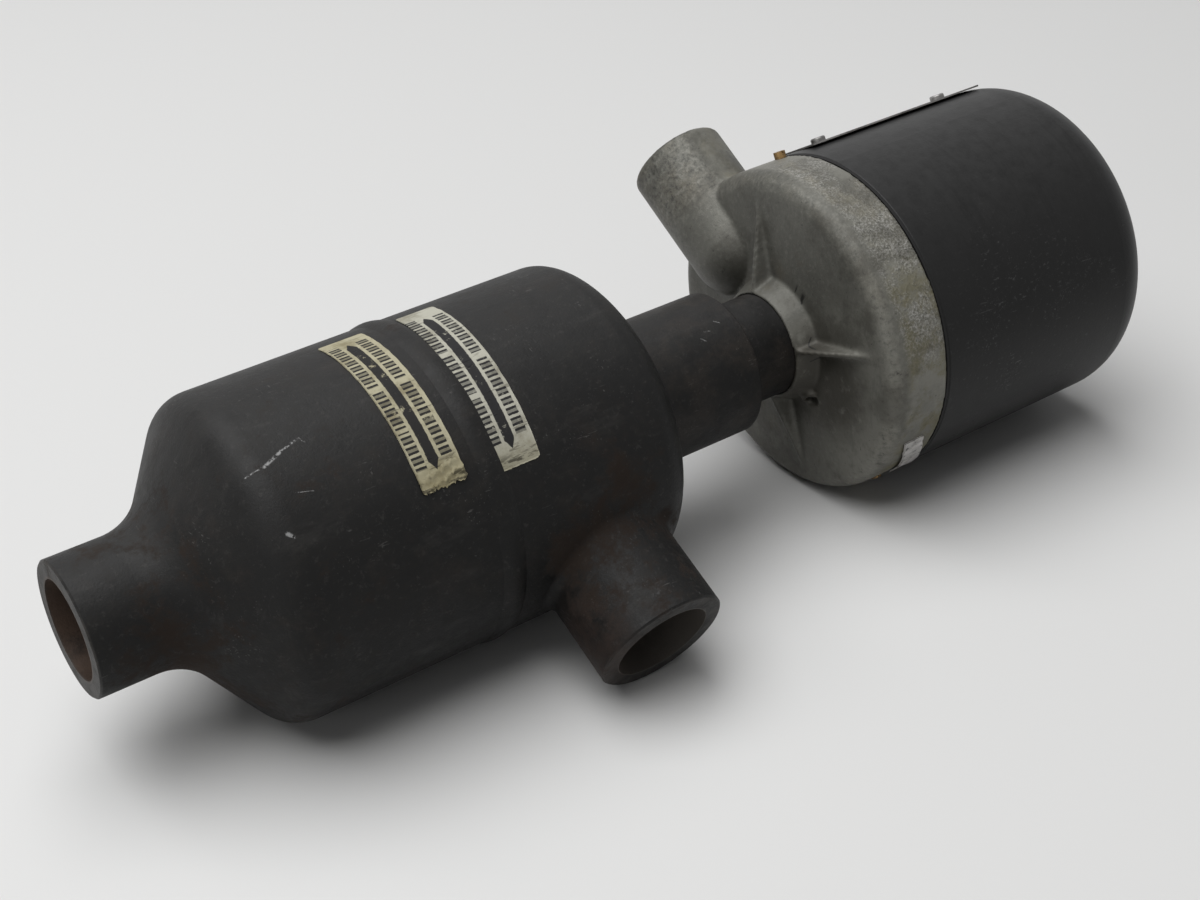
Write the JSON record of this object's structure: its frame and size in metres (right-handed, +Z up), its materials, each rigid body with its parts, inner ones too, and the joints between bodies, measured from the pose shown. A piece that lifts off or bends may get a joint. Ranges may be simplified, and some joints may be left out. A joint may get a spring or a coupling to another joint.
{
  "type": "float level switch",
  "caption": "Float level switch: welded steel float chamber with side and bottom connections, and a cast and drawn switch housing with a conduit entry.",
  "frame": {"origin": "middle of the overall box, on the floor", "axes": "+Z up from the floor the switch lies on; +X from the bottom connection to the cover, level (the switch's own axis rises by 1.4 degrees towards the cover); +Y away from the side connection"},
  "size_m": [0.5202, 0.2146, 0.159],
  "materials": {
    "chamber_paint": "rough charcoal paint with rust",
    "cover_paint": "satin dark grey paint",
    "casting": "weathered sand-cast aluminium",
    "bare_steel": "machined steel",
    "stainless": "drawn stainless steel",
    "tag": "thin plain aluminium sheet",
    "brass": "dull brass",
    "gasket": "black gasket",
    "moulding": "moulded phenolic",
    "insulation": "lead insulation",
    "label_cream": "stained paper label",
    "label_pale": "worn paper label"
  },
  "bodies": {
    "chamber": {"lower_chamber": "chamber_paint", "upper_chamber": "chamber_paint", "girth_weld": "chamber_paint", "side_connection": "chamber_paint", "side_weld": "chamber_paint", "neck_collar": "chamber_paint", "neck_weld": "chamber_paint", "tube_adapter": "chamber_paint", "stem_guide": "stainless", "enclosing_tube": "stainless", "label_falling": "label_cream", "label_rising": "label_pale", "frame_clamp": "bare_steel", "clamp_bolt": "bare_steel", "frame_screws": "bare_steel", "switch_frame": "bare_steel", "pivot_pin": "bare_steel", "return_spring": "stainless", "snap_switch": "moulding", "switch_bolts": "bare_steel", "terminal_bracket": "bare_steel", "terminal_block": "moulding", "terminal_screws": "brass", "switch_leads": "insulation"},
    "float": {"float_lower_half": "stainless", "float_upper_half": "stainless", "float_weld": "stainless", "float_stem": "stainless", "stem_stop": "stainless", "attraction_sleeve": "bare_steel", "stem_nuts": "bare_steel"},
    "head": {"housing_base": "casting", "set_screw": "bare_steel", "ground_screw": "bare_steel", "clamp_screws": "brass", "band_tag": "tag", "cover_gasket": "gasket"},
    "magnet_carriage": {"magnet_arm": "bare_steel", "magnet": "bare_steel"},
    "plunger": {"switch_plunger": "moulding"},
    "cover": {"cover": "cover_paint", "nameplate": "tag", "nameplate_screws": "bare_steel"}
  },
  "joints": [
    {"name": "float_travel", "type": "slide", "parent": "chamber", "child": "float", "axis": [0.9997, 0, 0.0247], "range_m": [0, 0.044]},
    {"name": "housing_swivel", "type": "hinge", "parent": "chamber", "child": "head", "pos_m": [0.09101, 0.00404, 0.07742], "axis": [0.9997, 0, 0.0247], "range_deg": [-180, 180]},
    {"name": "magnet_swing", "type": "hinge", "parent": "chamber", "child": "magnet_carriage", "pos_m": [0.16965, 0.00404, 0.11337], "axis": [0, 1, 0], "range_deg": [0, 5], "stiffness_Nm_per_rad": 0.1, "springref_deg": -11.46, "deforming": ["return_spring"]},
    {"name": "plunger_travel", "type": "slide", "parent": "chamber", "child": "plunger", "axis": [-0.0247, 0, 0.9997], "range_m": [0, 0.0018]},
    {"name": "cover_pull", "type": "slide", "parent": "head", "child": "cover", "axis": [0.9997, 0, 0.0247], "range_m": [0, 0.14]}
  ],
  "couplings": [
    {"joint": "plunger_travel", "follows": "magnet_swing", "m_per_rad": 0.02}
  ]
}
